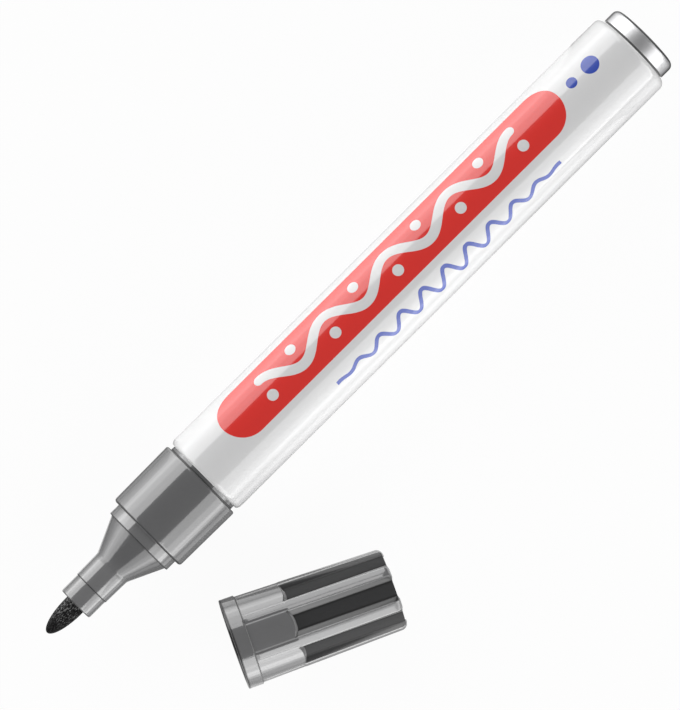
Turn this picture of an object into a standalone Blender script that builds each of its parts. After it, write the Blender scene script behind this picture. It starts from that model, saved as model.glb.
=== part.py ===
# Permanent marker lying on a table with its cap pulled off and laid beside it.
# The pen lies along X with its nib towards -X, and the cap lies on its -Y side.
# All sizes below are in millimetres and degrees.

import math

import bmesh
import bpy
from mathutils import Euler, Vector

MM = 0.001

# Barrel: one drawn aluminium can, open at the front, with a bare boss as its closed end
BARREL_RADIUS = 7.5
BARREL_LENGTH = 96.3
BARREL_WALL = 0.6
SHOULDER_RADIUS = 1.2
RIM_ROUND_LENGTH = 1.0
RIM_ROUND_DEPTH = 0.55
BOSS_RADIUS = 6.4
BOSS_LENGTH = 3.0
BOSS_CORNER = 1.0
BOSS_WALL = 0.6
BOSS_FLOOR = 0.9
BOSS_GROOVE_WIDTH = 0.45
BOSS_GROOVE_DEPTH = 0.3

# Front section: one grey moulding pressed into the barrel
SEAM_GAP = 0.7
SPIGOT_LENGTH = 8.0
SECTION_LENGTH = 12.1
SECTION_REAR_RADIUS = 7.5
SECTION_FRONT_RADIUS = 7.38
SECTION_REAR_CORNER = 0.5
SECTION_FRONT_CORNER = 0.5
COLLAR_RADIUS = 6.37
COLLAR_LENGTH = 1.95
CONE_BASE_RADIUS = 5.97
CONE_LENGTH = 5.85
NECK_RADIUS = 3.29
NECK_END_RADIUS = 3.22
NECK_LENGTH = 4.65
NECK_TIP_RADIUS = 3.1
NECK_TIP_LENGTH = 3.6
EDGE_BREAK = 0.15
CONE_BLEND = 1.2
AIR_SPACE_RADIUS = 4.6
AIR_SPACE_SETBACK = 1.0
RESERVOIR_STOP_DEPTH = 6.4

# Nib: a rod of bonded fibre with a half-ellipse for a tip
NIB_RADIUS = 1.78
NIB_EXPOSED = 6.37
NIB_TIP_LENGTH = 6.0
NIB_LENGTH = 36.0
NIB_TAIL_LENGTH = 3.0
NIB_TAIL_RADIUS = 0.6
NIB_TIP_STEPS = 9

# Ink reservoir: a fibre rod in a film
RESERVOIR_RADIUS = 5.15
WRAP_INNER_RADIUS = 5.35
WRAP_OUTER_RADIUS = 5.6
SOCKET_DEPTH = 9.0

# Cap: a fluted cup with a sealing insert
CAP_LENGTH = 27.17
CAP_FACE = 26.95
CAP_RIM_RADIUS = 7.44
CAP_RIM_LENGTH = 2.47
CAP_RADIUS_AT_RIM = 7.3
CAP_RADIUS_AT_END = 6.78
CAP_END_CORNER = 1.1
FLUTE_COUNT = 7
FLUTE_FLOOR_RADIUS = 6.1
FLUTE_FLOOR_HALF_ANGLE = 12.0
RIB_HALF_ANGLE = 8.2
FLUTE_START = 9.42
FLUTE_ARCH = 0.5
FLUTE_RAMP = 0.4
PANEL_DEPTH = 0.12
PANEL_HALF_ANGLE = 19.5
PANEL_EDGE_ANGLE = 1.2
CAP_SEAT_DEPTH = 2.2
CAP_THROAT_DEPTH = 9.4
CAP_BORE_RADIUS = 5.1
CAP_END_WALL = 1.3
CAP_FACE_RADIUS = 5.65
LINER_MOUTH = 9.8
LINER_BORE = 3.5
LINER_RADIUS = 4.3
LINER_FLANGE_RADIUS = 4.85
LINER_FLANGE_LENGTH = 2.0
LINER_END_WALL = 1.2
LINER_LEAD_IN = 0.45

# Fits: the clearance left between pieces that touch on the real marker
FIT = 0.2

# Layout on the table, in the pen's own directions: from the rear end and off the axis
CAP_MOUTH_ALONG = 114.85
CAP_MOUTH_ACROSS = 22.35
CAP_SKEW = 25.5

PEN_SEGMENTS = 48
NIB_SEGMENTS = 24
INNER_SEGMENTS = 36

# Stations along the pen, from its rear end
SHOULDER_AT = BOSS_LENGTH
RIM_AT = SHOULDER_AT + BARREL_LENGTH
SECTION_AT = RIM_AT + SEAM_GAP
SEAT_AT = SECTION_AT + SECTION_LENGTH
CONE_AT = SEAT_AT + COLLAR_LENGTH
NECK_AT = CONE_AT + CONE_LENGTH
NECK_TIP_AT = NECK_AT + NECK_LENGTH
MOUTH_AT = NECK_TIP_AT + NECK_TIP_LENGTH
PEN_LENGTH = MOUTH_AT + NIB_EXPOSED

BARREL_BORE = BARREL_RADIUS - BARREL_WALL
BOSS_BORE = BOSS_RADIUS - BOSS_WALL
SPIGOT_RADIUS = BARREL_BORE - FIT
SPIGOT_BORE = WRAP_OUTER_RADIUS + FIT
NIB_BORE = NIB_RADIUS + FIT
RESERVOIR_REAR = BOSS_FLOOR + FIT
RESERVOIR_STOP = SECTION_AT + RESERVOIR_STOP_DEPTH
RESERVOIR_FRONT = RESERVOIR_STOP - FIT


def clear_scene():
    for item in list(bpy.data.objects):
        bpy.data.objects.remove(item, do_unlink=True)


def make_material(name, color, roughness, metallic=0.0):
    material = bpy.data.materials.new(name)
    material.use_nodes = True
    shader = material.node_tree.nodes["Principled BSDF"]
    shader.inputs["Base Color"].default_value = (*color, 1.0)
    shader.inputs["Roughness"].default_value = roughness
    shader.inputs["Metallic"].default_value = metallic
    material.diffuse_color = (*color, 1.0)
    return material


def arc(center, radius, start, end, steps):
    # Points (along, radius) on a round, with angles in degrees from the axis direction
    points = []
    for step in range(steps + 1):
        angle = math.radians(start + (end - start) * step / steps)
        points.append((center[0] + radius * math.cos(angle), center[1] + radius * math.sin(angle)))
    return points


def add_object(name, bm, material, parent):
    bmesh.ops.remove_doubles(bm, verts=bm.verts, dist=1e-6)
    bmesh.ops.recalc_face_normals(bm, faces=bm.faces)
    mesh = bpy.data.meshes.new(name)
    bm.to_mesh(mesh)
    bm.free()
    mesh.materials.append(material)
    mesh.shade_smooth()
    mesh.set_sharp_from_angle(angle=math.radians(30))
    item = bpy.data.objects.new(name, mesh)
    bpy.context.collection.objects.link(item)
    item.parent = parent
    return item


def turned(name, profile, material, parent, segments, ring=False):
    # Spin an outline of (along, radius) points about the X axis; a ring's outline closes on itself
    bm = bmesh.new()
    points = [bm.verts.new((along * MM, 0.0, radius * MM)) for along, radius in profile]
    edges = [bm.edges.new(pair) for pair in zip(points, points[1:])]
    if ring:
        edges.append(bm.edges.new((points[-1], points[0])))
    bmesh.ops.spin(bm, geom=points + edges, cent=(0, 0, 0), axis=(1, 0, 0),
                   angle=math.tau, steps=segments, use_merge=True)
    return add_object(name, bm, material, parent)


def make_barrel(parent):
    lacquer = make_material("white_lacquer", (0.86, 0.86, 0.86), 0.25)
    groove_floor = BOSS_RADIUS - BOSS_GROOVE_DEPTH
    outside = [(0.0, 0.0)]
    outside += arc((BOSS_CORNER, BOSS_RADIUS - BOSS_CORNER), BOSS_CORNER, 180, 90, 4)
    outside += [(SHOULDER_AT - BOSS_GROOVE_WIDTH, BOSS_RADIUS),
                (SHOULDER_AT - BOSS_GROOVE_WIDTH, groove_floor),
                (SHOULDER_AT, groove_floor)]
    outside += arc((SHOULDER_AT + SHOULDER_RADIUS, BARREL_RADIUS - SHOULDER_RADIUS),
                   SHOULDER_RADIUS, 180, 90, 4)
    outside += [(RIM_AT - RIM_ROUND_LENGTH + along * RIM_ROUND_LENGTH,
                 BARREL_RADIUS - RIM_ROUND_DEPTH + out * RIM_ROUND_DEPTH)
                for along, out in arc((0.0, 0.0), 1.0, 90, 0, 4)]
    inside = [(RIM_AT, BARREL_BORE),
              (SHOULDER_AT + SHOULDER_RADIUS + BARREL_WALL, BARREL_BORE),
              (SHOULDER_AT + BARREL_WALL, BOSS_BORE),
              (BOSS_FLOOR, BOSS_BORE),
              (BOSS_FLOOR, 0.0)]
    return turned("barrel", outside + inside, lacquer, parent, PEN_SEGMENTS)


def cone_blend():
    # The hollow round where the cone runs into the neck
    slope = math.degrees(math.atan2(CONE_BASE_RADIUS - NECK_RADIUS, CONE_LENGTH))
    setback = CONE_BLEND * math.tan(math.radians(slope / 2))
    center = (NECK_AT + setback, NECK_RADIUS + CONE_BLEND)
    return arc(center, CONE_BLEND, 270 - slope, 270, 3)


def make_front_section(parent):
    plastic = make_material("grey_plastic", (0.115, 0.115, 0.118), 0.32)
    spigot_rear = RIM_AT - SPIGOT_LENGTH
    outside = [(spigot_rear, SPIGOT_RADIUS - EDGE_BREAK),
               (spigot_rear + EDGE_BREAK, SPIGOT_RADIUS),
               (SECTION_AT, SPIGOT_RADIUS)]
    outside += arc((SECTION_AT + SECTION_REAR_CORNER, SECTION_REAR_RADIUS - SECTION_REAR_CORNER),
                   SECTION_REAR_CORNER, 180, 90, 3)
    outside += arc((SEAT_AT - SECTION_FRONT_CORNER, SECTION_FRONT_RADIUS - SECTION_FRONT_CORNER),
                   SECTION_FRONT_CORNER, 90, 0, 3)
    outside += [(SEAT_AT, COLLAR_RADIUS),
                (CONE_AT - EDGE_BREAK, COLLAR_RADIUS),
                (CONE_AT, COLLAR_RADIUS - EDGE_BREAK),
                (CONE_AT, CONE_BASE_RADIUS)]
    outside += cone_blend()
    outside += [(NECK_TIP_AT - EDGE_BREAK, NECK_END_RADIUS),
                (NECK_TIP_AT, NECK_TIP_RADIUS),
                (MOUTH_AT - EDGE_BREAK, NECK_TIP_RADIUS),
                (MOUTH_AT, NECK_TIP_RADIUS - EDGE_BREAK)]
    inside = [(MOUTH_AT, NIB_BORE),
              (NECK_AT - AIR_SPACE_SETBACK, NIB_BORE),
              (CONE_AT, AIR_SPACE_RADIUS),
              (RESERVOIR_STOP, AIR_SPACE_RADIUS),
              (RESERVOIR_STOP, SPIGOT_BORE),
              (spigot_rear, SPIGOT_BORE)]
    return turned("front_section", outside + inside, plastic, parent, PEN_SEGMENTS, ring=True)


def make_nib(parent):
    felt = make_material("ink_soaked_felt", (0.035, 0.035, 0.037), 0.85)
    tail = PEN_LENGTH - NIB_LENGTH
    profile = [(tail, 0.0), (tail, NIB_TAIL_RADIUS), (tail + NIB_TAIL_LENGTH, NIB_RADIUS)]
    for step in range(NIB_TIP_STEPS + 1):
        angle = math.radians(90 * step / NIB_TIP_STEPS)
        along = PEN_LENGTH - NIB_TIP_LENGTH * (1 - math.sin(angle))
        profile.append((along, NIB_RADIUS * math.cos(angle)))
    profile[-1] = (PEN_LENGTH, 0.0)
    return turned("nib", profile, felt, parent, NIB_SEGMENTS)


def make_reservoir(parent):
    fibre = make_material("reservoir_fibre", (0.09, 0.09, 0.1), 0.9)
    film = make_material("reservoir_film", (0.8, 0.82, 0.84), 0.3)
    socket_end = RESERVOIR_FRONT - SOCKET_DEPTH
    rod = [(RESERVOIR_REAR, 0.0),
           (RESERVOIR_REAR, RESERVOIR_RADIUS),
           (RESERVOIR_FRONT, RESERVOIR_RADIUS),
           (RESERVOIR_FRONT, NIB_BORE),
           (socket_end, NIB_BORE),
           (socket_end, 0.0)]
    turned("ink_reservoir", rod, fibre, parent, INNER_SEGMENTS)
    sleeve = [(RESERVOIR_REAR, WRAP_INNER_RADIUS),
              (RESERVOIR_REAR, WRAP_OUTER_RADIUS),
              (RESERVOIR_FRONT, WRAP_OUTER_RADIUS),
              (RESERVOIR_FRONT, WRAP_INNER_RADIUS)]
    turned("reservoir_wrap", sleeve, film, parent, INNER_SEGMENTS, ring=True)


def flute_angles():
    # One pitch of the fluting, from the middle of a flute to the middle of the next
    half_pitch = 180 / FLUTE_COUNT
    crest = half_pitch - RIB_HALF_ANGLE
    half = [0.0, FLUTE_FLOOR_HALF_ANGLE / 2, FLUTE_FLOOR_HALF_ANGLE, crest,
            PANEL_HALF_ANGLE, PANEL_HALF_ANGLE + PANEL_EDGE_ANGLE, half_pitch]
    return half + [2 * half_pitch - angle for angle in half[-2:0:-1]]


def off_flute(angle):
    # Angle from the middle of the nearest flute
    pitch = 360 / FLUTE_COUNT
    folded = angle % pitch
    return min(folded, pitch - folded)


def crest_radius(along):
    share = (along - CAP_RIM_LENGTH) / (CAP_LENGTH - CAP_END_CORNER - CAP_RIM_LENGTH)
    return CAP_RADIUS_AT_RIM + (CAP_RADIUS_AT_END - CAP_RADIUS_AT_RIM) * share


def rib_share(angle):
    # 0 on a flute's floor, 1 on a rib's crest, sloping between them on the flank
    crest = 180 / FLUTE_COUNT - RIB_HALF_ANGLE
    share = (off_flute(angle) - FLUTE_FLOOR_HALF_ANGLE) / (crest - FLUTE_FLOOR_HALF_ANGLE)
    return min(1.0, max(0.0, share))


def fluted_radius(along, angle):
    crest = crest_radius(along)
    return FLUTE_FLOOR_RADIUS + (crest - FLUTE_FLOOR_RADIUS) * rib_share(angle)


def panel_radius(along, angle):
    # The smooth panels in front of the flutes lie a little below the ribs
    on_rib = off_flute(angle) > PANEL_HALF_ANGLE + PANEL_EDGE_ANGLE / 2
    return crest_radius(along) - (0.0 if on_rib else PANEL_DEPTH)


def flute_start(angle):
    # The panel's end bows out over the flute's floor
    crest = 180 / FLUTE_COUNT - RIB_HALF_ANGLE
    across = min(1.0, off_flute(angle) / crest)
    return FLUTE_START + FLUTE_ARCH * (1 - across ** 3)


def cap_rows(angle):
    # The cap's section at one angle, from the middle of its closed end, over the outside to the
    # mouth and back up the inside; the ribs stand proud of the end face
    rib = rib_share(angle)
    proud = CAP_FACE + (CAP_LENGTH - CAP_FACE) * rib
    corner = EDGE_BREAK + (CAP_END_CORNER - EDGE_BREAK) * rib
    corner_at = proud - corner
    edge = fluted_radius(corner_at, angle)
    corner_points = arc((corner_at, edge - corner), corner, 0, 90, 3)
    ramp_at = flute_start(angle)
    bore_end = CAP_FACE - CAP_END_WALL
    seat = COLLAR_RADIUS + FIT
    rows = [(CAP_FACE, 0.0),
            (CAP_FACE, CAP_FACE_RADIUS),
            (proud, edge - corner - EDGE_BREAK * (1 - rib))]
    rows += corner_points
    rows += [(ramp_at + FLUTE_RAMP, fluted_radius(ramp_at + FLUTE_RAMP, angle)),
             (ramp_at, panel_radius(ramp_at, angle)),
             (CAP_RIM_LENGTH + EDGE_BREAK, panel_radius(CAP_RIM_LENGTH, angle)),
             (CAP_RIM_LENGTH, CAP_RIM_RADIUS),
             (EDGE_BREAK, CAP_RIM_RADIUS),
             (0.0, CAP_RIM_RADIUS - EDGE_BREAK),
             (0.0, seat + EDGE_BREAK),
             (EDGE_BREAK, seat),
             (CAP_SEAT_DEPTH, seat),
             (CAP_THROAT_DEPTH, CAP_BORE_RADIUS),
             (bore_end, CAP_BORE_RADIUS),
             (bore_end, 0.0)]
    return rows


def make_cap_shell(parent):
    plastic = make_material("cap_plastic", (0.105, 0.105, 0.108), 0.3)
    pitch = 360 / FLUTE_COUNT
    angles = [flute * pitch + angle for flute in range(FLUTE_COUNT) for angle in flute_angles()]
    bm = bmesh.new()
    columns = []
    for angle in angles:
        turn = math.radians(angle)
        points = [Vector((along, -radius * math.sin(turn), radius * math.cos(turn)))
                  for along, radius in cap_rows(angle)]
        columns.append([bm.verts.new(point * MM) for point in points])
    for left, right in zip(columns, columns[1:] + columns[:1]):
        for row in range(len(left) - 1):
            bm.faces.new((left[row], left[row + 1], right[row + 1], right[row]))
    return add_object("cap_shell", bm, plastic, parent)


def make_cap_liner(parent):
    plastic = make_material("liner_plastic", (0.55, 0.55, 0.55), 0.4)
    rear = CAP_FACE - CAP_END_WALL - FIT
    flange_at = rear - LINER_FLANGE_LENGTH
    profile = [(rear, 0.0),
               (rear, LINER_FLANGE_RADIUS),
               (flange_at, LINER_FLANGE_RADIUS),
               (flange_at, LINER_RADIUS),
               (LINER_MOUTH + EDGE_BREAK, LINER_RADIUS),
               (LINER_MOUTH, LINER_RADIUS - EDGE_BREAK),
               (LINER_MOUTH, LINER_BORE + LINER_LEAD_IN),
               (LINER_MOUTH + LINER_LEAD_IN, LINER_BORE),
               (rear - LINER_END_WALL, LINER_BORE),
               (rear - LINER_END_WALL, 0.0)]
    return turned("cap_liner", profile, plastic, parent, INNER_SEGMENTS)


def cap_pitch():
    # With a flute on top, the laid-down cap rests on its wide rim and on the rib underneath
    rib_at = CAP_LENGTH - CAP_END_CORNER
    return math.atan2(CAP_RIM_RADIUS - CAP_RADIUS_AT_END, rib_at - CAP_RIM_LENGTH)


def add_empty(name, location, rotation):
    empty = bpy.data.objects.new(name, None)
    empty.empty_display_size = 10 * MM
    empty.location = Vector(location) * MM
    empty.rotation_euler = rotation
    bpy.context.collection.objects.link(empty)
    return empty


def center_on_table(roots):
    # Set the layout down on z = 0 with the middle of its footprint on the origin
    bpy.context.view_layer.update()
    corners = []
    for item in bpy.data.objects:
        if item.type == "MESH":
            corners += [item.matrix_world @ vertex.co for vertex in item.data.vertices]
    low = Vector([min(corner[axis] for corner in corners) for axis in range(3)])
    high = Vector([max(corner[axis] for corner in corners) for axis in range(3)])
    shift = Vector(((low.x + high.x) / 2, (low.y + high.y) / 2, low.z))
    for root in roots:
        root.location -= shift
    bpy.context.view_layer.update()


def main():
    clear_scene()
    # The pen's own X runs from its rear end to its nib, the cap's from its mouth to its closed end
    pen = add_empty("pen_axis", (PEN_LENGTH / 2, 0.0, BARREL_RADIUS), Euler((0.0, 0.0, math.pi)))
    make_barrel(pen)
    make_front_section(pen)
    make_nib(pen)
    make_reservoir(pen)

    pitch = cap_pitch()
    mouth_height = CAP_RIM_RADIUS * math.cos(pitch) + CAP_RIM_LENGTH * math.sin(pitch)
    mouth = (PEN_LENGTH / 2 - CAP_MOUTH_ALONG, -CAP_MOUTH_ACROSS, mouth_height)
    cap = add_empty("cap_axis", mouth, Euler((0.0, pitch, -math.radians(CAP_SKEW))))
    make_cap_shell(cap)
    make_cap_liner(cap)
    center_on_table([pen, cap])


main()
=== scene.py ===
import math

import bpy
from mathutils import Euler, Matrix, Vector
from mathutils.kdtree import KDTree


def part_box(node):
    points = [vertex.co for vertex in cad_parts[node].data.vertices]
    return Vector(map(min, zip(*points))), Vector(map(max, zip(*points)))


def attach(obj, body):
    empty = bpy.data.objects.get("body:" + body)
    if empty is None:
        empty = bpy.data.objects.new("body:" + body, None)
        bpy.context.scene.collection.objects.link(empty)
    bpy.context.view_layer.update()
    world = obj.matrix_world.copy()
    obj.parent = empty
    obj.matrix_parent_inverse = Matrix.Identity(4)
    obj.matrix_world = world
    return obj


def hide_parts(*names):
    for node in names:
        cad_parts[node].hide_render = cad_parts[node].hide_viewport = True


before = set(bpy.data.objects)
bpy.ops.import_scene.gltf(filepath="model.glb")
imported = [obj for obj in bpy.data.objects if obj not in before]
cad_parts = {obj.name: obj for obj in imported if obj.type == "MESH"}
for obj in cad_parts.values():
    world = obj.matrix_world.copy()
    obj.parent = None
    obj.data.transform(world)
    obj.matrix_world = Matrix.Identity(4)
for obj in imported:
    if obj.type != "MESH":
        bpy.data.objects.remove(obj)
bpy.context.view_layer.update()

mm = 0.001
print("frame loaded")

# where the pen lies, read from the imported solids
barrelLow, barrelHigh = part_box("barrel")
rearX = barrelHigh.x
penY = (barrelLow.y + barrelHigh.y) / 2
penZ = (barrelLow.z + barrelHigh.z) / 2
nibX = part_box("nib")[0].x
penLength = (rearX - nibX) / mm


# camera

cameraSetup = {
    "imageSize": (680, 710),
    "rearPixel": (645.9, 36.5),      # middle of the pen's rear end in the photograph
    "nibPixel": (47.2, 632.2),       # tip of the nib
    "distance": 1.2,
    "tilt": 1.5,                     # degrees off straight down, towards the nib
    "sensor": 36.0,
    "clip": (0.05, 100.0),
}


def addCamera():
    setup = cameraSetup
    rear = Vector(setup["rearPixel"])
    along = Vector(setup["nibPixel"]) - rear
    pixel = penLength * mm / along.length
    along.normalize()
    across = Vector((along.y, -along.x))
    middle = Vector(setup["imageSize"]) / 2 - rear
    target = Vector((rearX - middle.dot(along) * pixel,
                     penY - middle.dot(across) * pixel, penZ))
    tilt = math.radians(setup["tilt"])
    back = Vector((-math.sin(tilt), 0, math.cos(tilt)))
    right = Vector((-along.x, -along.y, 0))
    right = (right - back * right.dot(back)).normalized()
    up = back.cross(right)
    data = bpy.data.cameras.new("photoCamera")
    data.sensor_width = setup["sensor"]
    data.lens = setup["sensor"] * setup["distance"] / (setup["imageSize"][1] * pixel)
    data.clip_start, data.clip_end = setup["clip"]
    camera = bpy.data.objects.new("photoCamera", data)
    bpy.context.scene.collection.objects.link(camera)
    axes = Matrix((right, up, back)).transposed().to_4x4()
    camera.matrix_world = Matrix.Translation(target + back * setup["distance"]) @ axes
    bpy.context.scene.camera = camera


addCamera()
bpy.context.scene.view_settings.view_transform = "Standard"
print("camera placed")


# shader maths

class Wire:
    # wraps a node socket, so that sums of values become Math nodes
    def __init__(self, tree, socket):
        self.tree = tree
        self.socket = socket

    def make(self, kind, settings=None, inputs=None, out=0):
        node = self.tree.nodes.new(kind)
        for name, value in (settings or {}).items():
            if name == "stops":
                for stop, (place, color) in zip(rampStops(node, len(value)), value):
                    stop.position = place
                    stop.color = color
            else:
                setattr(node, name, value)
        for name, value in (inputs or {}).items():
            if isinstance(value, Wire):
                self.tree.links.new(value.socket, node.inputs[name])
            else:
                node.inputs[name].default_value = value
        return Wire(self.tree, node.outputs[out])

    def math(self, operation, first, second=None):
        inputs = {0: first} if second is None else {0: first, 1: second}
        return self.make("ShaderNodeMath", {"operation": operation}, inputs)

    def __add__(self, other):
        return self.math("ADD", self, other)

    def __radd__(self, other):
        return self.math("ADD", other, self)

    def __sub__(self, other):
        return self.math("SUBTRACT", self, other)

    def __rsub__(self, other):
        return self.math("SUBTRACT", other, self)

    def __mul__(self, other):
        return self.math("MULTIPLY", self, other)

    def __rmul__(self, other):
        return self.math("MULTIPLY", other, self)

    def __truediv__(self, other):
        return self.math("DIVIDE", self, other)

    def __abs__(self):
        return self.math("ABSOLUTE", self)

    def cosine(self):
        return self.math("COSINE", self)

    def sine(self):
        return self.math("SINE", self)

    def rounded(self):
        return self.math("ROUND", self)

    def turn(self, rise):
        # angle from the upward direction, in radians
        return self.math("ARCTAN2", self, rise)

    def root(self):
        return self.math("SQRT", self)

    def least(self, other):
        return self.math("MINIMUM", self, other)

    def most(self, other):
        return self.math("MAXIMUM", self, other)

    def inside(self, soft):
        # 1 where a distance is below zero, with a soft edge
        return 1 - self.step(-soft, soft)

    def between(self, low, high, soft):
        return self.step(low - soft, low + soft) * (1 - self.step(high - soft, high + soft))

    def folded(self, half):
        # distance to the nearest multiple of twice the half
        return self.math("PINGPONG", self, half)

    def step(self, low, high):
        # 0 below low, 1 above high, a smooth ramp between
        return self.make("ShaderNodeMapRange", {"interpolation_type": "SMOOTHSTEP"},
                         {"Value": self, "From Min": low, "From Max": high})

    def stepAbout(self, middle, edge):
        # a step whose ramp runs between two offsets from the middle
        return self.step(middle + edge[0], middle + edge[1])

    def blend(self, below, above):
        # colour mix by this value
        return self.make("ShaderNodeMix", {"data_type": "RGBA"},
                         {"Factor": self, 6: below, 7: above}, 2)


def rampStops(node, count):
    stops = node.color_ramp.elements
    while len(stops) < count:
        stops.new(1.0)
    return stops


def startMaterial(name):
    material = bpy.data.materials.new(name)
    material.use_nodes = True
    tree = material.node_tree
    shader = tree.nodes["Principled BSDF"]
    place = Wire(tree, tree.nodes.new("ShaderNodeTexCoord").outputs["Object"])
    return material, shader, place


def setShader(wire, shader, values):
    for name, value in values.items():
        if isinstance(value, Wire):
            wire.tree.links.new(value.socket, shader.inputs[name])
        else:
            shader.inputs[name].default_value = value


def splitPlace(place):
    parts = place.make("ShaderNodeSeparateXYZ", None, {0: place})
    node = parts.socket.node
    return [Wire(place.tree, node.outputs[axis]) for axis in "XYZ"]


def grey(level):
    return (level, level, level, 1.0)


def penSpace(place):
    # millimetres along the pen from its rear end, to its left side and above its axis
    x, y, z = splitPlace(place)
    return (rearX - x) / mm, (y - penY) / mm, (z - penZ) / mm


def speckle(place, scale, detail=2.0):
    return place.make("ShaderNodeTexNoise", None,
                      {"Vector": place, "Scale": scale, "Detail": detail})


def edgeOn(place, low, high):
    # 1 where a surface is seen at a flat angle, as along the outline of a round piece
    return place.make("ShaderNodeLayerWeight", None, {"Blend": 0.5}, "Facing").step(low, high)


def bumped(height, depth, strength):
    return height.make("ShaderNodeBump", None,
                       {"Strength": strength, "Distance": depth, "Height": height})


# lights, floor and backdrop

studio = {
    "boxDistance": 0.6,
    "boxLength": 1.7,
    # softboxes on both sides of the pen: from and to degrees above the table, then brightness,
    # where 1 is white
    "leftBoxes": ((0, 8, 2.6), (8, 24, 2.1), (24, 46, 1.75)),
    "rightBoxes": ((0, 8, 2.6), (8, 26, 1.75), (26, 50.5, 1.25)),
    "rightFill": ((0, 45, 0.2),),    # light without a reflection
    # cards on the table that only the gloss shows: from and to millimetres off the pen's axis,
    # then brightness
    "leftCards": ((-7, 9, 0.8), (13, 20, 0.25), (20, 28, 0.55),
                  (28, 42, 0.9), (42, 75, 1.2), (75, 600, 2.1)),
    "rightCards": ((13, 20, 0.1), (20, 36, 0.68), (36, 46, 0.3),
                   (46, 60, 0.6), (60, 100, 0.9), (100, 600, 1.9)),
    "cardLength": 0.5,
    "rightCardMiddle": -0.192,       # so that they end before the metal boss
    "bossLeft": ((6.3, 12, 0.1),),
    "bossRight": ((22, 70, 0.45),),
    "bossCardMiddle": 0.068,
    "bossCardLength": 0.014,
    "capLeftCards": ((9, 75, 0.45),),
    "capCardMiddle": 0.0135,
    "capCardReach": 0.09,
    # cards that light the lower sides without being seen in them
    "leftGlow": ((15, 80, 0.55),),
    "rightGlow": ((15, 80, 0.7),),
    "frontGlow": ((9, 40, 1.4),),
    "frontGlowMiddle": -0.002,
    "frontGlowLength": 0.06,
    # boxes and cards for the cap, which lies at another angle
    "capMiddle": (-0.036, -0.012),
    "capTurn": -25.5,
    "capLeftDistance": 2.5,          # far enough that the metal boss doesn't show it
    "capLeftLength": 0.5,
    "capLeftShift": 0.13,            # along the cap, whose taper throws its reflections forward
    "capRightLength": 0.22,
    "capLeftBoxes": ((40.5, 51, 1.7),),
    "capRightBoxes": ((0, 18, 0.75), (18, 46, 1.15)),
    "capRightCards": ((11.5, 15.5, 0.06), (45, 70, 0.5), (70, 140, 0.9), (140, 450, 1.0)),
    "capCardLength": 0.07,
    # the cards' heights in millimetres, as those at one height hide each other
    "glowLift": 0.02,
    "frontGlowLift": 0.04,
    "cardLift": 0.1,
    "overCardLift": 0.14,
    "capCardLift": 0.18,
    "fillHeight": 2.0,
    "fillSize": 2.4,
    "fillLevel": 0.18,
    "domeLevel": 0.2,
    "floorSize": 40.0,
    "floorDrop": 0.05 * mm,
    "floorGrey": 0.88,
    "floorRough": 0.9,
    "floorSpecular": 0.1,
    "floorLift": 0.95,               # share of the floor that shows as plain white
    "floorGloss": 0.25,              # how bright the floor is in reflections
}


def addPanel(name, place, aim, size, level):
    data = bpy.data.lights.new(name, "AREA")
    data.shape = "RECTANGLE"
    data.size, data.size_y = size
    data.energy = level * math.pi * data.size * data.size_y
    lamp = bpy.data.objects.new(name, data)
    lamp.location = place
    lamp.rotation_euler = (aim - place).to_track_quat("-Z", "Y").to_euler()
    lamp.visible_camera = False
    bpy.context.scene.collection.objects.link(lamp)
    return lamp


def addBoxes(name, aim, away, boxes, length, reach=studio["boxDistance"]):
    # softboxes stacked above each other, all facing the piece
    lamps = []
    for low, high, level in boxes:
        middle = math.radians((low + high) / 2)
        half = math.radians((high - low) / 2)
        place = aim + (away * math.cos(middle) + Vector((0, 0, math.sin(middle)))) * reach
        size = (length, 2 * reach * math.tan(half))
        lamps.append(addPanel(name + "Softbox", place, aim, size, level))
    return lamps


def addCards(name, aim, away, cards, length, lift):
    # strips beside each other on the table, facing up
    turn = math.atan2(away.y, away.x) - math.pi / 2
    up = Vector((0, 0, 1))
    lamps = []
    for near, far, level in cards:
        card = aim + away * ((near + far) / 2 * mm) + up * (lift * mm)
        size = (length, (far - near) * mm)
        lamp = addPanel(name + "Card", card, card + up, size, level)
        lamp.rotation_euler = Euler((math.pi, 0, turn))
        lamps.append(lamp)
    return lamps


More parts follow.
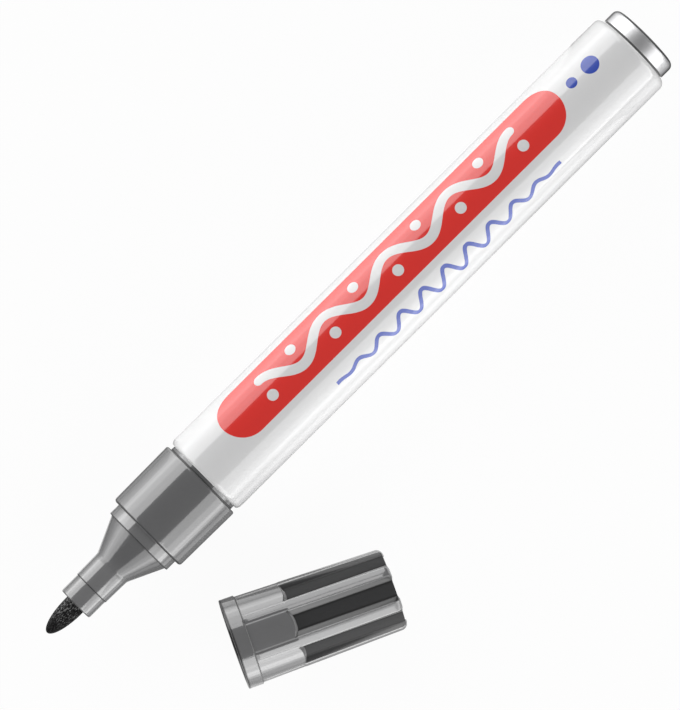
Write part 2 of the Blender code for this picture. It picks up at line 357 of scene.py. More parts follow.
def addLamps():
    pen = Vector((0, penY, 0))
    left = Vector((0, 1, 0))
    length, reach = studio["boxLength"], studio["cardLength"]
    addBoxes("left", pen, left, studio["leftBoxes"], length)
    addBoxes("right", pen, -left, studio["rightBoxes"], length)
    light = addBoxes("rightFill", pen, -left, studio["rightFill"], length)
    light += addCards("leftGlow", pen, left, studio["leftGlow"], reach, studio["glowLift"])
    light += addCards("rightGlow", pen, -left, studio["rightGlow"], reach, studio["glowLift"])
    front = Vector((studio["frontGlowMiddle"], penY, 0))
    light += addCards("frontGlow", front, -left, studio["frontGlow"], studio["frontGlowLength"],
                      studio["frontGlowLift"])
    for lamp in light:
        lamp.visible_glossy = False

    before = Vector((studio["rightCardMiddle"], penY, 0))
    boss = Vector((studio["bossCardMiddle"], penY, 0))
    middle = Vector((studio["capCardMiddle"], penY, 0))
    cap = Vector((*studio["capMiddle"], 0))
    turn = math.radians(studio["capTurn"])
    capLeft = Vector((-math.sin(turn), math.cos(turn), 0))
    bossLength, over = studio["bossCardLength"], studio["overCardLift"]
    shine = addCards("left", pen, left, studio["leftCards"], reach, studio["cardLift"])
    shine += addCards("right", before, -left, studio["rightCards"], reach, studio["cardLift"])
    shine += addCards("bossLeft", boss, left, studio["bossLeft"], bossLength, over)
    shine += addCards("bossRight", boss, -left, studio["bossRight"], bossLength, over)
    shine += addCards("capLeft", middle, left, studio["capLeftCards"], studio["capCardReach"], over)
    shine += addCards("capRight", cap, -capLeft, studio["capRightCards"],
                      studio["capCardLength"], studio["capCardLift"])
    ahead = cap + Vector((math.cos(turn), math.sin(turn), 0)) * studio["capLeftShift"]
    shine += addBoxes("capLeft", ahead, capLeft, studio["capLeftBoxes"], studio["capLeftLength"],
                      studio["capLeftDistance"])
    shine += addBoxes("capRight", cap, -capLeft, studio["capRightBoxes"], studio["capRightLength"])
    for lamp in shine:
        lamp.visible_diffuse = False

    above = Vector((0, 0, studio["fillHeight"]))
    size = (studio["fillSize"], studio["fillSize"])
    fill = addPanel("overheadFill", above, Vector(), size, studio["fillLevel"])
    fill.visible_glossy = False


def addDome():
    # a grey sky that the camera sees as white
    world = bpy.context.scene.world or bpy.data.worlds.new("dome")
    bpy.context.scene.world = world
    world.use_nodes = True
    tree = world.node_tree
    seen = Wire(tree, tree.nodes.new("ShaderNodeLightPath").outputs["Is Camera Ray"])
    backdrop = tree.nodes["Background"]
    backdrop.inputs["Color"].default_value = grey(1.0)
    level = studio["domeLevel"] + seen * (1 - studio["domeLevel"])
    tree.links.new(level.socket, backdrop.inputs["Strength"])


def addFloor():
    # paper that shows nearly plain white to the camera, and grey in the gloss
    bpy.ops.object.select_all(action="DESELECT")
    under = (0, 0, -studio["floorDrop"])
    bpy.ops.mesh.primitive_plane_add(size=studio["floorSize"], location=under)
    floor = bpy.context.object
    floor.name = "floor"
    material, shader, place = startMaterial("paperFloor")
    setShader(place, shader, {
        "Base Color": grey(studio["floorGrey"]),
        "Roughness": studio["floorRough"],
        "Specular IOR Level": studio["floorSpecular"],
    })
    tree = material.node_tree
    rays = tree.nodes.new("ShaderNodeLightPath")
    seen, gloss, through = [Wire(tree, rays.outputs[name])
                            for name in ("Is Camera Ray", "Is Glossy Ray", "Is Transmission Ray")]
    lift = (seen.most(through) * studio["floorLift"]).most(gloss)
    shade = gloss.blend(grey(1.0), grey(studio["floorGloss"]))
    white = place.make("ShaderNodeEmission", None, {"Color": shade, "Strength": 1.0})
    lit = Wire(tree, shader.outputs["BSDF"])
    shown = place.make("ShaderNodeMixShader", None, {0: lift, 1: lit, 2: white})
    tree.links.new(shown.socket, tree.nodes["Material Output"].inputs["Surface"])
    floor.data.materials.append(material)


addLamps()
addDome()
addFloor()
print("studio lit")


# modelling helpers

samePoint = 0.5e-6                   # metres; points closer than this are one


def rounding(along, out, radius, fromAngle, toAngle, steps=6):
    # points on a round corner, angles in degrees from the pen's forward direction
    points = []
    for step in range(steps + 1):
        angle = math.radians(fromAngle + (toAngle - fromAngle) * step / steps)
        points.append((along + radius * math.cos(angle), out + radius * math.sin(angle)))
    return points


def rearCorner(at, out, radius, steps=6):
    # outer corner of an end that faces backwards
    return rounding(at + radius, out - radius, radius, 180, 90, steps)


def frontCorner(at, out, radius, steps=6):
    return rounding(at - radius, out - radius, radius, 90, 0, steps)


def selectOnly(piece):
    bpy.ops.object.select_all(action="DESELECT")
    bpy.context.view_layer.objects.active = piece
    piece.select_set(True)


def turnOutline(name, outline, place, steps, closed):
    # draws an outline of (along, out) points in millimetres by extruding one vertex,
    # then spins it about the axis
    points = [place(along * mm, out * mm) for along, out in outline]
    if closed:
        points.append(points[0])
    bpy.ops.object.select_all(action="DESELECT")
    bpy.ops.mesh.primitive_plane_add(size=mm)
    piece = bpy.context.object
    piece.name = name
    piece.data.name = name
    bpy.ops.object.mode_set(mode="EDIT")
    bpy.ops.mesh.select_all(action="SELECT")
    bpy.ops.mesh.merge(type="CENTER")
    bpy.ops.transform.translate(value=points[0])
    for here, there in zip(points, points[1:]):
        bpy.ops.mesh.extrude_vertices_move(TRANSFORM_OT_translate={"value": there - here})
    bpy.ops.mesh.select_all(action="SELECT")
    bpy.ops.mesh.spin(steps=steps, angle=math.tau, center=place(0, 0), axis=(1, 0, 0))
    bpy.ops.mesh.select_all(action="SELECT")
    bpy.ops.mesh.remove_doubles(threshold=samePoint)
    bpy.ops.mesh.normals_make_consistent(inside=False)
    bpy.ops.object.mode_set(mode="OBJECT")
    return piece


def penPlace(along, out):
    return Vector((rearX - along, penY, penZ + out))


def localPlace(along, out):
    return Vector((along, 0, out))


def finishPiece(piece, material, body, node, angle=35):
    selectOnly(piece)
    bpy.ops.object.shade_smooth_by_angle(angle=math.radians(angle))
    piece.data.materials.clear()
    piece.data.materials.append(material)
    piece.visible_glossy = False     # the pen and the cap don't mirror each other
    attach(piece, body)
    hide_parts(node)
    print(piece.name, "finished,", len(piece.data.polygons), "faces")


# barrel

barrelShape = {
    "radius": 7.5,
    "boss": 6.4,
    "bossLength": 3.0,
    "bossCorner": 1.0,
    "grooveWidth": 0.32,
    "grooveDepth": 0.3,
    "shoulder": 1.2,
    "rimAt": 99.3,
    "rimLength": 1.0,                # the rim is drawn in on an oval
    "rimDepth": 0.55,
    "bore": 6.9,
    "bossBore": 5.8,
    "wall": 0.6,
    "floorAt": 0.9,
    "steps": 160,
}

barrelLook = {
    "white": (0.78, 0.78, 0.785, 1),
    "whiteDull": grey(0.76),
    "metal": (0.80, 0.80, 0.81, 1),
    # painted shade in the boss's groove
    "shadedGroove": (0.15, 0.15, 0.152, 1),
    # painted shade on the metal's end corner and along its outline
    "edgeShade": (0.10, 0.10, 0.102, 1),
    "edgeShadeRing": (-0.9, -0.7),        # where the painted shade begins, from the boss's outside
    "edgeShadeDepth": (0.3, 0.45),        # where it ends, from the rear end
    "outline": (0.6, 0.85),          # how flat the metal is seen where shade is painted on it too
    "red": (0.80, 0.022, 0.014, 1),
    "blue": (0.026, 0.07, 0.456, 1),
    "lacquerEndsAt": 3.1,            # from the rear end
    "edge": 0.03,                    # softness of the edges of print and lacquer
    "coat": 0.75,
    "coatIor": 1.8,
    "coatRough": 0.04,
    "latheMarks": 14,                # per millimetre along the boss
    "peelScale": 900.0,
    "cloudScale": 160.0,
    "rough": {"base": 0.18, "metal": 0.15, "shadedGroove": 0.3, "lathe": 0.12, "peel": 0.04},
    "bump": (0.004 * mm, 0.4),       # depth and strength
}

printShape = {
    "fieldFrom": 17.0,               # red field with round ends, from the rear end
    "fieldTo": 92.0,
    "fieldArc": 3.2,                 # its middle, round the barrel from the top
    "fieldHalf": 4.5,
    "waveHalf": 28.0,                # white wave along the middle of the field
    "dotsHalf": 31.5,
    "wavePeriod": 14.0,
    "waveHeight": 1.75,
    "waveStroke": 0.85,
    "dotOut": 1.75,                  # white dots in the bays of the wave
    "dotSize": 0.95,
    "rippleFrom": 24.0,              # fine blue ripple beside the field
    "rippleTo": 74.0,
    "rippleArc": -4.9,
    "ripplePeriod": 5.0,
    "rippleHeight": 1.5,
    "rippleStroke": 0.36,
    "blueDots": ((9.9, 1.55), (14.0, 0.95)),
}


def waveDistance(along, out, period, height, stroke):
    # distance in millimetres from a wave drawn along the pen
    pace = math.tau / period
    slope = height * pace * (along * pace).sine()
    return abs(out - height * (along * pace).cosine()) / (slope * slope + 1).root() - stroke


def dotDistance(along, out, size):
    return (along * along + out * out).root() - size


def barrelPrint(along, arc):
    shape = printShape
    soft = barrelLook["edge"]
    out = arc - shape["fieldArc"]
    middle = along - (shape["fieldFrom"] + shape["fieldTo"]) / 2
    straight = (shape["fieldTo"] - shape["fieldFrom"]) / 2 - shape["fieldHalf"]
    past = (abs(middle) - straight).most(0.0)
    red = dotDistance(past, out, shape["fieldHalf"]).inside(soft)

    wave = waveDistance(middle, out, shape["wavePeriod"], shape["waveHeight"], shape["waveStroke"])
    wave = wave.inside(soft) * (abs(middle) - shape["waveHalf"]).inside(soft)
    ends = dotDistance(abs(middle) - shape["waveHalf"], out - shape["waveHeight"],
                       shape["waveStroke"]).inside(soft)
    halfPeriod = shape["wavePeriod"] / 2
    bay = (middle / halfPeriod).rounded()
    bayOut = out + shape["dotOut"] * (bay * math.pi).cosine()
    dots = dotDistance(middle - bay * halfPeriod, bayOut, shape["dotSize"]).inside(soft)
    dots = dots * (abs(middle) - shape["dotsHalf"]).inside(soft)
    red = red * (1 - wave.most(ends).most(dots))

    rippleMiddle = (shape["rippleFrom"] + shape["rippleTo"]) / 2
    rippleHalf = (shape["rippleTo"] - shape["rippleFrom"]) / 2
    run = along - rippleMiddle
    swell = 1 - (run / rippleHalf) * (run / rippleHalf)
    ripple = waveDistance(run, arc - shape["rippleArc"], shape["ripplePeriod"],
                          shape["rippleHeight"] * swell, shape["rippleStroke"])
    blue = ripple.inside(soft) * (abs(run) - rippleHalf).inside(soft)
    for at, size in shape["blueDots"]:
        blue = blue.most(dotDistance(along - at, out, size).inside(soft))
    return red, blue


def barrelFinish():
    # printed white lacquer, with bare turned metal on the boss; painted shade in the boss's groove,
    # round its end corner and along its outline
    look = barrelLook
    soft, rough = look["edge"], look["rough"]
    material, shader, place = startMaterial("whiteLacquer")
    along, side, rise = penSpace(place)
    arc = side.turn(rise) * barrelShape["radius"]
    red, blue = barrelPrint(along, arc)
    bare = 1 - along.stepAbout(look["lacquerEndsAt"], (-soft, soft))
    grooveAt = barrelShape["bossLength"] - barrelShape["grooveWidth"]
    shadedGroove = bare * along.stepAbout(grooveAt, (-soft, soft))
    out = (side * side + rise * rise).root()
    # painted shade round the metal's end corner
    shadeBand = out.stepAbout(barrelShape["boss"], look["edgeShadeRing"])
    shadeBand = shadeBand * (1 - along.step(*look["edgeShadeDepth"]))
    lathe = place.make("ShaderNodeTexNoise", {"noise_dimensions": "1D"},
                       {"W": along * look["latheMarks"], "Detail": 2.0})
    peel = speckle(place, look["peelScale"])
    tone = speckle(place, look["cloudScale"])
    white = tone.blend(look["white"], look["whiteDull"])
    paint = blue.blend(red.blend(white, look["red"]), look["blue"])
    dark = shadeBand.most(edgeOn(place, *look["outline"]))
    metalColor = dark.blend(look["metal"], look["edgeShade"])
    color = shadedGroove.blend(bare.blend(paint, metalColor), look["shadedGroove"])
    metal = bare * (1 - shadedGroove)
    roughness = metal * rough["metal"] + shadedGroove * rough["shadedGroove"] + lathe * metal * rough["lathe"]
    setShader(place, shader, {
        "Base Color": color,
        "Metallic": metal,
        "Roughness": roughness + peel * rough["peel"] + rough["base"],
        "Coat Weight": look["coat"] * (1 - bare),
        "Coat IOR": look["coatIor"],
        "Coat Roughness": look["coatRough"],
        "Normal": bumped(peel * (1 - bare) + lathe * metal, *look["bump"]),
    })
    return material


def makeBarrel():
    shape = barrelShape
    shoulderAt = shape["bossLength"]
    grooveAt = shoulderAt - shape["grooveWidth"]
    grooveFloor = shape["boss"] - shape["grooveDepth"]
    outline = [(0, 0)]
    outline += rearCorner(0, shape["boss"], shape["bossCorner"], 8)
    outline += [(grooveAt, shape["boss"]), (grooveAt, grooveFloor), (shoulderAt, grooveFloor)]
    outline += rearCorner(shoulderAt, shape["radius"], shape["shoulder"], 8)
    outline += [(shape["rimAt"] + (along - 1) * shape["rimLength"],
                 shape["radius"] + (out - 1) * shape["rimDepth"])
                for along, out in rounding(0, 0, 1, 90, 0, 8)]
    outline += [(shape["rimAt"], shape["bore"]),
                (shoulderAt + shape["shoulder"] + shape["wall"], shape["bore"]),
                (shoulderAt + shape["wall"], shape["bossBore"]),
                (shape["floorAt"], shape["bossBore"]),
                (shape["floorAt"], 0)]
    piece = turnOutline("barrelCan", outline, penPlace, shape["steps"], False)
    finishPiece(piece, barrelFinish(), "pen", "barrel")


makeBarrel()


# front section

sectionShape = {
    "spigotAt": 91.3,
    "spigot": 6.7,
    "rearAt": 100.0,
    "rear": 7.5,
    "rearRound": 0.35,
    "seatAt": 112.1,
    "front": 7.38,
    "frontRound": 0.5,
    "collar": 6.37,
    "collarRound": 0.15,
    "coneAt": 114.05,
    "coneBase": 5.97,
    "neckAt": 119.9,
    "neck": 3.29,
    "neckEnd": 3.22,
    "blend": 1.2,
    "stepAt": 124.55,
    "stepRound": 0.1,
    "tip": 3.1,
    "mouthAt": 128.15,
    "mouthRound": 0.3,
    "bore": 1.98,
    "airSpace": 4.6,
    "airSetback": 1.0,
    "stopAt": 106.4,
    "stopBore": 5.8,
    "steps": 160,
}

sectionLook = {
    "grey": (0.125, 0.125, 0.128, 1),
    "greyDark": (0.112, 0.112, 0.115, 1),
    "litGrey": (0.165, 0.165, 0.168, 1),    # painted light: a lighter copy of the grey on the nose, and in part on the collar
    "litEdge": (-2.0, 1.0),             # where it begins, from the neck's start
    "collarLit": 0.6,
    "stepShade": (0.035, 0.035, 0.036, 1),    # painted shade where the steps meet
    "shadeLines": ((99.76, 100.14), (111.78, 112.12), (113.86, 114.1), (124.38, 124.6), (128.0, 128.2)),
    "shadeLineSoft": 0.03,
    "shadeLineDull": 0.9,
    "outline": (0.72, 0.95),             # how flat the plastic is seen where shade is painted on it too
    "ior": 1.6,
    "coatIor": 2.3,
    "coatRough": 0.06,
    "coat": 0.72,
    "collarCoat": 0.92,
    "collarSoft": 0.02,
    "coneCoat": 0.41,
    "coneEnd": 0.5,                      # past the neck's start
    "coneSoft": 0.1,
    "neckCoat": 0.8,
    "grainScale": 2600.0,
    "cloudScale": 220.0,
    "cloudDetail": 3.0,
    "rough": {"base": 0.16, "grain": 0.08, "stepShade": 0.3},
    "bump": (0.003 * mm, 0.35),          # depth and strength
}


def sectionFinish():
    # smooth moulded plastic with a faint grain, painted shade lines at its steps and along its
    # outline, and a painted lighter nose
    look = sectionLook
    shape = sectionShape
    soft, rough, base = look["coneSoft"], look["rough"], look["coat"]
    material, shader, place = startMaterial("sectionPlastic")
    along = penSpace(place)[0]
    grain = speckle(place, look["grainScale"])
    cloud = speckle(place, look["cloudScale"], look["cloudDetail"])
    neckFrom = shape["neckAt"] + look["coneEnd"]
    collar = along.between(shape["seatAt"], shape["coneAt"], look["collarSoft"])
    cone = along.between(shape["coneAt"], neckFrom, soft)
    neck = along.stepAbout(neckFrom, (-soft, soft))
    # painted light on the nose and, in part, on the collar
    nose = along.stepAbout(shape["neckAt"], look["litEdge"]) + look["collarLit"] * collar
    coat = collar * (look["collarCoat"] - base) + cone * (look["coneCoat"] - base)
    coat = coat + neck * (look["neckCoat"] - base) + base
    # painted shade in the crevices at the steps
    shadeLines = along.between(*look["shadeLines"][0], look["shadeLineSoft"])
    for low, high in look["shadeLines"][1:]:
        shadeLines = shadeLines.most(along.between(low, high, look["shadeLineSoft"]))
    color = nose.blend(cloud.blend(look["greyDark"], look["grey"]), look["litGrey"])
    dark = shadeLines.most(edgeOn(place, *look["outline"]))
    setShader(place, shader, {
        "Base Color": dark.blend(color, look["stepShade"]),
        "Roughness": grain * rough["grain"] + shadeLines * rough["stepShade"] + rough["base"],
        "IOR": look["ior"],
        "Coat Weight": coat * (1 - look["shadeLineDull"] * dark),
        "Coat IOR": look["coatIor"],
        "Coat Roughness": look["coatRough"],
        "Normal": bumped(grain, *look["bump"]),
    })
    return material


def makeSection():
    shape = sectionShape
    fall, run = shape["coneBase"] - shape["neck"], shape["neckAt"] - shape["coneAt"]
    slope = math.degrees(math.atan2(fall, run))
    setback = shape["blend"] * math.tan(math.radians(slope / 2))
    outline = [(shape["spigotAt"], shape["spigot"]), (shape["rearAt"], shape["spigot"])]
    outline += rearCorner(shape["rearAt"], shape["rear"], shape["rearRound"])
    outline += frontCorner(shape["seatAt"], shape["front"], shape["frontRound"])
    outline += [(shape["seatAt"], shape["collar"])]
    outline += frontCorner(shape["coneAt"], shape["collar"], shape["collarRound"])
    outline += [(shape["coneAt"], shape["coneBase"])]
    outline += rounding(shape["neckAt"] + setback, shape["neck"] + shape["blend"], shape["blend"],
                        270 - slope, 270, 8)
    outline += frontCorner(shape["stepAt"], shape["neckEnd"], shape["stepRound"], 4)
    outline += [(shape["stepAt"], shape["tip"])]
    outline += frontCorner(shape["mouthAt"], shape["tip"], shape["mouthRound"])
    outline += [(shape["mouthAt"], shape["bore"]),
                (shape["neckAt"] - shape["airSetback"], shape["bore"]),
                (shape["coneAt"], shape["airSpace"]),
                (shape["stopAt"], shape["airSpace"]),
                (shape["stopAt"], shape["stopBore"]),
                (shape["spigotAt"], shape["stopBore"])]
    piece = turnOutline("frontMoulding", outline, penPlace, shape["steps"], True)
    finishPiece(piece, sectionFinish(), "pen", "front_section")


makeSection()


# nib

nibShape = {
    "radius": 1.78,
    "length": 36.0,
    "tipLength": 6.0,
    "tailRadius": 0.6,
    "tailLength": 3.0,
    "tipRows": 40,
    "steps": 96,
}

nibLook = {
    "fibres": [(0.40, grey(0.004)), (0.54, grey(0.03)), (0.66, grey(0.24))],
    # ink at the wet tip, also used for painted shade along the outline
    "inkAndShade": grey(0.002),
    "inkAndShadeShare": 0.9,
    "leftLight": 0.03,                       # painted light: paler per millimetre towards the left side
    "wetFrom": 4.0,                      # back from the tip
    "wetFully": 0.8,
    "outline": (0.45, 0.8),              # how flat the felt is seen where shade is painted on it too
    "stretch": (0.55, 1.0, 1.0),
    "clumpScale": 5600.0,
    "clumpDetail": 4.0,
    "rough": {"dry": 0.85, "wet": 0.25},
    "specular": 0.12,
    "bump": (0.12 * mm, 0.8),            # depth and strength
}


def feltFinish():
    # pressed fibre soaked with ink: dark clumps with paler strands between them, painted lighter
    # towards the left side, and painted shade along its outline
    look = nibLook
    material, shader, place = startMaterial("inkedFelt")
    along, side = penSpace(place)[:2]
    strands = place.make("ShaderNodeMapping", None, {"Vector": place, "Scale": look["stretch"]})
    clump = speckle(strands, look["clumpScale"], look["clumpDetail"])
    tone = clump.make("ShaderNodeValToRGB", {"stops": look["fibres"]},
                      {"Fac": clump + side * look["leftLight"]})
    wet = along.step(penLength - look["wetFrom"], penLength - look["wetFully"])
    # the wet tip, and painted shade along the outline
    dark = wet.most(edgeOn(place, *look["outline"]))
    setShader(place, shader, {
        "Base Color": (look["inkAndShadeShare"] * dark).blend(tone, look["inkAndShade"]),
        "Roughness": look["rough"]["dry"] - wet * look["rough"]["wet"],
        "Specular IOR Level": look["specular"],
        "Normal": bumped(clump, *look["bump"]),
    })
    return material


def makeNib():
    shape = nibShape
    tail = penLength - shape["length"]
    outline = [(tail, 0), (tail, shape["tailRadius"]),
               (tail + shape["tailLength"], shape["radius"])]
    for row in range(shape["tipRows"] + 1):
        angle = math.pi / 2 * row / shape["tipRows"]
        out = 0.0 if row == shape["tipRows"] else shape["radius"] * math.cos(angle)
        outline.append((penLength - shape["tipLength"] * (1 - math.sin(angle)), out))
    piece = turnOutline("feltNib", outline, penPlace, shape["steps"], False)
    finishPiece(piece, feltFinish(), "nib", "nib")


makeNib()


# cap

capPlace = {
    "mouth": (-47.59, -6.2105, 7.5061),  # middle of the mouth, in millimetres
    "skew": -25.5,                       # degrees from the pen's axis
    "pitch": 1.60192,                    # nose-down slope of the laid cap
}

capTurn = Euler((0, math.radians(capPlace["pitch"]), math.radians(capPlace["skew"])))
capMouth = Vector(capPlace["mouth"]) * mm

capShape = {
    "length": 27.17,
    "faceAt": 26.95,
    "rim": 7.44,
    "rimLength": 2.47,
    "radiusAtRim": 7.3,
    "radiusAtEnd": 6.78,
    "endCorner": 1.1,
    "edge": 0.15,
    "rimRound": 0.1,
    "faceRings": (4, 3),                 # edge widths in from the floor, to hold the face flat
    "ribRing": 0.9,
    "flutes": 7,
    "roll": 1.2,                         # degrees that the upper flute is turned off the top
    "floor": 6.1,
    "floorHalf": 12.0,
    "flankHalf": 19.0,
    "flankRound": 0.06,                  # these rounds are shares of the slope's own width
    "start": 9.42,
    "arch": 0.5,
    "archHalf": 17.5,
    "ramp": 0.4,
    "rampRound": 0.2,
    "rampReach": 0.3,
    "panelDepth": 0.12,
    "panelHalf": 20.4,
    "panelEdge": 1.6,
    "panelRound": 0.2,
    "seat": 6.57,
    "seatDepth": 2.2,
    "throatDepth": 9.4,
    "bore": 5.1,
    "endWall": 1.3,
    "steps": 504,
    "fluteRows": 24,
    "rampRows": 12,
    "panelRows": 8,
}


def softClamp(value, edge):
    # 0 to 1 with both corners rounded over a width of edge
    value = min(1 + edge, max(-edge, value))
    if value < edge:
        return (value + edge) ** 2 / (4 * edge)
    if value > 1 - edge:
        return 1 - (1 + edge - value) ** 2 / (4 * edge)
    return value


def offFlute(angle):
    pitch = 360 / capShape["flutes"]
    folded = (angle - capShape["roll"]) % pitch
    return min(folded, pitch - folded)


def crestAt(along):
    shape = capShape
    reach = shape["length"] - shape["endCorner"] - shape["rimLength"]
    share = (along - shape["rimLength"]) / reach
    return shape["radiusAtRim"] + (shape["radiusAtEnd"] - shape["radiusAtRim"]) * share


def capSection(angle):
    # the cap's outline at one angle round it: closed end, outside, mouth, inside
    shape = capShape
    edge, rimRound = shape["edge"], shape["rimRound"]
    off = offFlute(angle)
    rib = (off - shape["floorHalf"]) / (shape["flankHalf"] - shape["floorHalf"])
    rib = softClamp(rib, shape["flankRound"])
    raised = softClamp((off - shape["panelHalf"]) / shape["panelEdge"], shape["panelRound"])
    sunk = shape["panelDepth"] * (1 - raised)
    rampAt = shape["start"] + shape["arch"] * (1 - min(1, off / shape["archHalf"]) ** 3)

    def outAt(along):
        panel = crestAt(along) - sunk
        flute = shape["floor"] + (crestAt(along) - shape["floor"]) * rib
        past = softClamp((along - rampAt) / shape["ramp"], shape["rampRound"])
        return panel + (flute - panel) * past

    face = shape["faceAt"] + (shape["length"] - shape["faceAt"]) * rib
    corner = edge + (shape["endCorner"] - edge) * rib
    cornerAt = face - corner
    cornerOut = outAt(cornerAt) - corner
    points = [(shape["faceAt"], 0)]
    points += [(shape["faceAt"], shape["floor"] - ring * edge) for ring in shape["faceRings"]]
    points += [(face, cornerOut - edge * (1 - shape["ribRing"] * rib))]
    points += rounding(cornerAt, cornerOut, corner, 0, 90, 8)
    rampEnd = rampAt + (1 + shape["rampReach"]) * shape["ramp"]
    rampStart = rampAt - shape["rampReach"] * shape["ramp"]
    stations = (cornerAt, rampEnd, rampStart, shape["rimLength"] + rimRound)
    counts = (shape["fluteRows"], shape["rampRows"], shape["panelRows"])
    for start, end, count in zip(stations, stations[1:], counts):
        for row in range(1, count + 1):
            along = start + (end - start) * row / count
            points.append((along, outAt(along)))
    points += rounding(shape["rimLength"] - rimRound, shape["rim"] - rimRound, rimRound, 0, 90, 3)
    points += [(shape["rimLength"] - edge - rimRound, shape["rim"]), (2 * edge, shape["rim"])]
    points += rounding(edge, shape["rim"] - edge, edge, 90, 180, 4)
    points += rounding(edge, shape["seat"] + edge, edge, 180, 270, 4)
    points += [(shape["seatDepth"], shape["seat"]),
               (shape["throatDepth"], shape["bore"]),
               (shape["faceAt"] - shape["endWall"], shape["bore"]),
               (shape["faceAt"] - shape["endWall"], 0)]
    return points


capLook = {
    "gloss": (0.155, 0.155, 0.158, 1),
    "glossDark": (0.14, 0.14, 0.143, 1),
    "shadedFloor": (0.031, 0.031, 0.032, 1),   # flute floors, painted dark as shade in the recesses; their etching is in the roughness and bump
    "shadedFloorDark": (0.022, 0.022, 0.023, 1),
    "crease": (0.006, 0.006, 0.006, 1),  # painted shade along the floors' edges
    "flank": (0.042, 0.042, 0.043, 1),   # painted shade on the sides of the ribs
    "glint": (0.27, 0.27, 0.274, 1),      # painted highlight along the ribs' edges
    "lipShade": (0.03, 0.03, 0.031, 1),       # painted shade on the edge of the mouth
    "step": (0.11, 0.11, 0.112, 1),      # painted shade in front of the rim, and at the flutes' starts
    # where these lie, from the edges in the shape: degrees round the cap
    "floorEdge": (-0.8, 2.2),
    "creaseWidth": 2.6,
    "creaseSoft": 0.8,
    "creaseShare": 0.8,
    "flankEdge": (-1.4, -0.4),
    "glintHalf": 1.0,
    "glintSoft": 0.4,
    "rampSide": (-0.8, 0.0),
    # and millimetres along the cap or out from its axis
    "fluteSoft": 0.05,
    "fluteOut": (-0.5, -0.3),
    "rampLength": 0.45,
    "glintFrom": 0.2,
    "glintOut": (-0.1, 0.0),
    "lipEdge": (0.2, 0.4),
    "stepEdge": (-0.1, 0.14),
    "stepSoft": 0.03,
    "outline": (0.6, 0.85),              # how flat the plastic is seen where shade is painted on it too
    "outlineShare": 0.6,
    "coatIor": 2.0,
    "coatRough": 0.06,
    "stepDull": 0.85,
    "flankDull": 0.78,
    "grainScale": 2600.0,
    "etchScale": 5200.0,
    "etchDepth": 3,
    "cloudScale": 220.0,
    "cloudDetail": 3.0,
    "rough": {"base": 0.16, "floor": 0.5, "step": 0.12, "grain": 0.08},
    "bump": (0.003 * mm, 0.35),          # depth and strength
}


def capFinish():
    # smooth panels and ribs, with etched flutes between the ribs; painted shade on the flutes'
    # floors, creases and sides, at the steps, on the mouth's edge and along the outline, and a
    # painted highlight along the ribs' edges
    look = capLook
    shape = capShape
    soft, rough = look["fluteSoft"], look["rough"]
    floorHalf, flankHalf, rimEnd = shape["floorHalf"], shape["flankHalf"], shape["rimLength"]
    material, shader, place = startMaterial("capPlastic")
    local = place.make("ShaderNodeMapping", {"vector_type": "TEXTURE"}, {
        "Vector": place,
        "Location": capMouth,
        "Rotation": capTurn,
        "Scale": (mm, mm, mm),
    })
    along, side, rise = splitPlace(local)
    out = (side * side + rise * rise).root()
    half = 180 / shape["flutes"]
    off = (side.turn(rise) * math.degrees(1) - shape["roll"]).folded(half)
    reach = (off / shape["archHalf"]).least(1.0)
    past = along - shape["start"] - shape["arch"] * (1 - reach * reach * reach)
    fluted = past.step(-soft, 0.0) * out.stepAbout(shape["floor"], look["fluteOut"])
    fluted = fluted * (1 - along.stepAbout(shape["faceAt"], (-soft, soft)))
    ramp = past.between(0.0, look["rampLength"], look["stepSoft"])
    ramp = ramp * (1 - off.stepAbout(shape["archHalf"], look["rampSide"]))
    # painted shade on the flutes' floors
    floor = fluted * (1 - off.stepAbout(floorHalf, look["floorEdge"])) * (1 - ramp)
    # painted shade in the creases along the floors' edges
    crease = off.between(floorHalf - look["creaseWidth"], floorHalf, look["creaseSoft"])
    crease = fluted * crease * look["creaseShare"]
    # painted shade on the ribs' sides
    flank = fluted * (1 - off.stepAbout(flankHalf, look["flankEdge"]))
    # painted highlight along the ribs' edges
    edgeGlint = off.between(flankHalf - look["glintHalf"], flankHalf + look["glintHalf"], look["glintSoft"])
    edgeGlint = edgeGlint * along.between(rimEnd + look["glintFrom"], shape["faceAt"], soft)
    edgeGlint = edgeGlint * out.stepAbout(shape["seat"], look["glintOut"])
    # painted shade on the mouth's edge
    lipShade = 1 - along.step(*look["lipEdge"])
    # painted shade in front of the rim and at the flutes' starts
    low, high = look["stepEdge"]
    step = along.between(rimEnd + low, rimEnd + high, look["stepSoft"]).most(ramp)
    grain = speckle(place, look["grainScale"])
    etch = speckle(place, look["etchScale"])
    cloud = speckle(place, look["cloudScale"], look["cloudDetail"])
    color = edgeGlint.blend(cloud.blend(look["glossDark"], look["gloss"]), look["glint"])
    shadedFloor = etch.blend(look["shadedFloorDark"], look["shadedFloor"])
    color = floor.blend(flank.blend(color, look["flank"]), shadedFloor)
    color = step.blend(crease.blend(color, look["crease"]), look["step"])
    shadeBand = step.most(lipShade)
    # painted shade along the outline
    outline = look["outlineShare"] * edgeOn(place, *look["outline"])
    coat = (1 - floor) * (1 - look["stepDull"] * shadeBand) * (1 - look["flankDull"] * flank)
    roughness = floor * rough["floor"] + shadeBand * rough["step"] + grain * rough["grain"]
    setShader(place, shader, {
        "Base Color": lipShade.most(outline).blend(color, look["lipShade"]),
        "Roughness": roughness + rough["base"],
        "Coat Weight": coat * (1 - outline),
        "Coat IOR": look["coatIor"],
        "Coat Roughness": look["coatRough"],
        "Normal": bumped(grain + etch * floor * look["etchDepth"], *look["bump"]),
    })
    return material


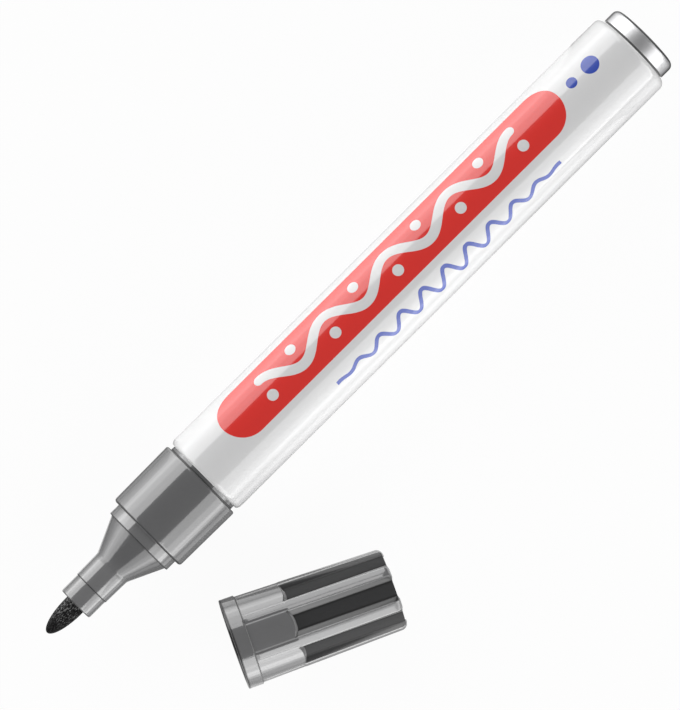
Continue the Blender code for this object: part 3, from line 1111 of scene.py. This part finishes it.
def layCap(piece):
    # turns a piece modelled along X into the laid cap's place
    piece.rotation_euler = capTurn
    piece.location = capMouth
    selectOnly(piece)
    bpy.ops.object.transform_apply(location=True, rotation=True, scale=True)


def makeCap():
    crestAngle = 180 / capShape["flutes"] + capShape["roll"]
    outline = capSection(crestAngle)                     # turned at the ribs' section first
    piece = turnOutline("capShell", outline, localPlace, capShape["steps"], False)
    rows = KDTree(len(outline))
    for row, (along, out) in enumerate(outline):
        rows.insert(localPlace(along, out), row)
    rows.balance()
    sections = {}
    for vertex in piece.data.vertices:
        out = math.hypot(vertex.co.y, vertex.co.z)
        row = rows.find(localPlace(vertex.co.x / mm, out / mm))[1]
        angle = round(math.degrees(math.atan2(vertex.co.y, vertex.co.z)), 3)
        if angle not in sections:
            sections[angle] = capSection(angle)
        along, out = sections[angle][row]
        turn = math.radians(angle)
        vertex.co = Vector((along, out * math.sin(turn), out * math.cos(turn))) * mm
    layCap(piece)
    finishPiece(piece, capFinish(), "cap", "cap_shell", 50)


makeCap()


# liner inside the cap

linerShape = {
    "mouthAt": 9.8,
    "bore": 3.5,
    "radius": 4.3,
    "flange": 4.85,
    "flangeAt": 23.45,
    "rearAt": 25.45,
    "endWall": 1.2,
    "edge": 0.2,
    "steps": 96,
}

linerLook = {
    "natural": grey(0.5),
    "cloudy": grey(0.43),
    "grainScale": 1800.0,
    "cloudScale": 300.0,
    "cloudDetail": 3.0,
    "rough": {"base": 0.35, "grain": 0.1},
    "bump": (0.004 * mm, 0.4),           # depth and strength
}


def linerFinish():
    look = linerLook
    material, shader, place = startMaterial("linerPlastic")
    grain = speckle(place, look["grainScale"])
    cloud = speckle(place, look["cloudScale"], look["cloudDetail"])
    setShader(place, shader, {
        "Base Color": cloud.blend(look["cloudy"], look["natural"]),
        "Roughness": grain * look["rough"]["grain"] + look["rough"]["base"],
        "Normal": bumped(grain, *look["bump"]),
    })
    return material


def makeLiner():
    shape = linerShape
    edge = shape["edge"]
    floorAt = shape["rearAt"] - shape["endWall"]
    outline = [(shape["rearAt"], 0), (shape["rearAt"], shape["flange"]),
               (shape["flangeAt"], shape["flange"]), (shape["flangeAt"], shape["radius"])]
    outline += rounding(shape["mouthAt"] + edge, shape["radius"] - edge, edge, 90, 180, 4)
    outline += [(shape["mouthAt"], shape["bore"] + 2 * edge),
                (shape["mouthAt"] + 3 * edge, shape["bore"]),
                (floorAt, shape["bore"]),
                (floorAt, 0)]
    piece = turnOutline("capLiner", outline, localPlace, shape["steps"], False)
    layCap(piece)
    finishPiece(piece, linerFinish(), "cap", "cap_liner")


makeLiner()


# ink store inside the barrel, kept as packed

reservoirLook = {
    "fibre": (0.09, 0.09, 0.1, 1),
    "fibreDark": (0.02, 0.02, 0.024, 1),
    "fibreStretch": (0.04, 1.0, 1.0),
    "fibreScale": 3200.0,
    "fibreRough": (0.7, 0.25),           # least, and how much the strands add
    "fibreBump": (0.08 * mm, 0.7),       # depth and strength
    "film": (0.8, 0.82, 0.84, 1),
    "filmDark": (0.62, 0.65, 0.69, 1),
    "filmScale": 260.0,
    "filmDetail": 4.0,
    "filmRough": (0.2, 0.2),
    "filmBump": (0.05 * mm, 0.5),
}


def fibreFinish():
    look = reservoirLook
    least, more = look["fibreRough"]
    material, shader, place = startMaterial("inkedTow")
    tow = place.make("ShaderNodeMapping", None, {"Vector": place, "Scale": look["fibreStretch"]})
    strand = speckle(tow, look["fibreScale"])
    setShader(place, shader, {
        "Base Color": strand.blend(look["fibreDark"], look["fibre"]),
        "Roughness": least + strand * more,
        "Normal": bumped(strand, *look["fibreBump"]),
    })
    return material


def filmFinish():
    look = reservoirLook
    least, more = look["filmRough"]
    material, shader, place = startMaterial("clearFilm")
    crease = speckle(place, look["filmScale"], look["filmDetail"])
    setShader(place, shader, {
        "Base Color": crease.blend(look["filmDark"], look["film"]),
        "Roughness": least + crease * more,
        "Normal": bumped(crease, *look["filmBump"]),
    })
    return material


def dressReservoir():
    finishes = (("ink_reservoir", fibreFinish()), ("reservoir_wrap", filmFinish()))
    for name, finish in finishes:
        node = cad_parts[name]
        node.data.materials.clear()
        node.data.materials.append(finish)
        node.visible_glossy = False
    print("reservoir dressed")


dressReservoir()
